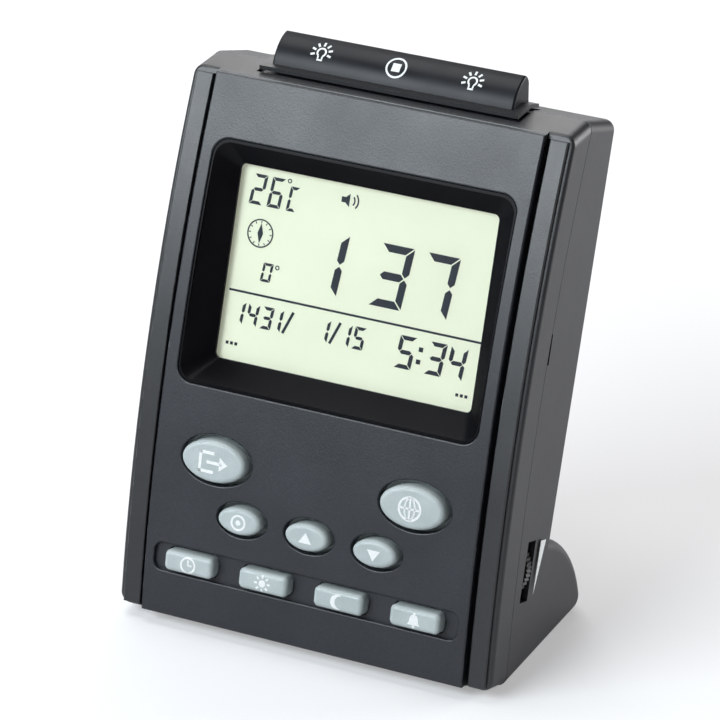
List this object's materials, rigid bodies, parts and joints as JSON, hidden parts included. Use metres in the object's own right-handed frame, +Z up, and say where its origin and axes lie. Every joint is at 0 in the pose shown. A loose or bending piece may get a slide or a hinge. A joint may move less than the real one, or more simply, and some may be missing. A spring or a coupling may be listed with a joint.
{
  "type": "prayer time desk clock",
  "caption": "Leaning desk clock with a framed display, oval and bar keys on a curved front, a press bar on the top edge, a side volume wheel and a battery foot behind.",
  "frame": {"origin": "centre of the bounding box's base, on the surface the clock stands on", "axes": "+X to the viewer's right, +Y to the back, +Z up; the display faces -Y and leans back"},
  "size_m": [0.0938, 0.0644, 0.1271],
  "materials": {
    "case_plastic": "fine matte grain",
    "panel_plastic": "fine matte grain",
    "bezel_plastic": "smooth satin",
    "bar_plastic": "satin",
    "key_plastic": "soft satin",
    "window_clear": "clear",
    "lcd_glass": "pale yellow green",
    "backlight_plastic": "milky",
    "holder_plastic": "plain",
    "contact_rubber": "soft",
    "board_resin": "green varnish",
    "chip_resin": "cast resin",
    "can_metal": "satin",
    "screw_steel": "zinc plated",
    "contact_metal": "nickel plated",
    "magnet_iron": "plated",
    "speaker_steel": "black paint",
    "speaker_film": "thin film",
    "battery_jacket": "printed sleeve, left plain",
    "wheel_plastic": "knurled"
  },
  "bodies": {
    "case": {"front_shell": "case_plastic", "rear_shell": "case_plastic", "fascia_panel": "panel_plastic", "lcd_bezel": "bezel_plastic", "display_window": "window_clear", "lcd_front_glass": "lcd_glass", "lcd_rear_glass": "lcd_glass", "lcd_backlight": "backlight_plastic", "lcd_holder": "holder_plastic", "zebra_strip": "contact_rubber", "backlight_lamps": "backlight_plastic", "main_board": "board_resin", "main_chip": "chip_resin", "voice_chip": "chip_resin", "clock_crystal": "can_metal", "capacitors": "can_metal", "thermistor": "chip_resin", "key_board": "board_resin", "key_switches": "chip_resin", "stop_switch": "chip_resin", "stop_switch_board": "board_resin", "volume_control": "chip_resin", "speaker_frame": "speaker_steel", "speaker_magnet": "magnet_iron", "speaker_cone": "speaker_film", "battery_tray": "case_plastic", "battery_cell_rear": "battery_jacket", "battery_cell_front": "battery_jacket", "battery_contacts": "contact_metal", "battery_springs": "contact_metal", "case_screws": "screw_steel", "board_screws": "screw_steel", "key_board_screws": "screw_steel", "panel_screws": "screw_steel"},
    "stop_bar": {"stop_bar": "bar_plastic", "bar_skirt": "bar_plastic"},
    "volume_wheel": {"volume_wheel": "wheel_plastic", "volume_shaft": "holder_plastic"},
    "battery_door": {"battery_door": "case_plastic"},
    "key_exit": {"key_exit": "key_plastic"},
    "key_city": {"key_city": "key_plastic"},
    "key_set": {"key_set": "key_plastic"},
    "key_up": {"key_up": "key_plastic"},
    "key_down": {"key_down": "key_plastic"},
    "key_hour_format": {"key_hour_format": "key_plastic"},
    "key_summer_time": {"key_summer_time": "key_plastic"},
    "key_azan": {"key_azan": "key_plastic"},
    "key_alarm": {"key_alarm": "key_plastic"}
  },
  "joints": [
    {"name": "stop_bar_press", "type": "slide", "parent": "case", "child": "stop_bar", "axis": [0, 0, -1], "range_m": [0, 0.0009], "stiffness_N_per_m": 500, "springref_m": -0.0006},
    {"name": "key_exit_press", "type": "slide", "parent": "case", "child": "key_exit", "axis": [0, 0.9723, -0.2336], "range_m": [0, 0.0006], "stiffness_N_per_m": 400, "springref_m": -0.0006},
    {"name": "key_city_press", "type": "slide", "parent": "case", "child": "key_city", "axis": [0, 0.9723, -0.2336], "range_m": [0, 0.0006], "stiffness_N_per_m": 400, "springref_m": -0.0006},
    {"name": "key_set_press", "type": "slide", "parent": "case", "child": "key_set", "axis": [0, 0.9723, -0.2336], "range_m": [0, 0.0006], "stiffness_N_per_m": 400, "springref_m": -0.0006},
    {"name": "key_up_press", "type": "slide", "parent": "case", "child": "key_up", "axis": [0, 0.9723, -0.2336], "range_m": [0, 0.0006], "stiffness_N_per_m": 400, "springref_m": -0.0006},
    {"name": "key_down_press", "type": "slide", "parent": "case", "child": "key_down", "axis": [0, 0.9723, -0.2336], "range_m": [0, 0.0006], "stiffness_N_per_m": 400, "springref_m": -0.0006},
    {"name": "key_hour_format_press", "type": "slide", "parent": "case", "child": "key_hour_format", "axis": [0, 0.9723, -0.2336], "range_m": [0, 0.0006], "stiffness_N_per_m": 400, "springref_m": -0.0006},
    {"name": "key_summer_time_press", "type": "slide", "parent": "case", "child": "key_summer_time", "axis": [0, 0.9723, -0.2336], "range_m": [0, 0.0006], "stiffness_N_per_m": 400, "springref_m": -0.0006},
    {"name": "key_azan_press", "type": "slide", "parent": "case", "child": "key_azan", "axis": [0, 0.9723, -0.2336], "range_m": [0, 0.0006], "stiffness_N_per_m": 400, "springref_m": -0.0006},
    {"name": "key_alarm_press", "type": "slide", "parent": "case", "child": "key_alarm", "axis": [0, 0.9723, -0.2336], "range_m": [0, 0.0006], "stiffness_N_per_m": 400, "springref_m": -0.0006},
    {"name": "volume_wheel_turn", "type": "hinge", "parent": "case", "child": "volume_wheel", "pos_m": [0.0391, -0.01185, 0.02391], "axis": [0, -0.9478, 0.319], "range_deg": [-135, 135]},
    {"name": "battery_door_hinge", "type": "hinge", "parent": "case", "child": "battery_door", "pos_m": [0, 0.01646, 0.00802], "axis": [-1, 0, 0], "range_deg": [0, 80]}
  ]
}
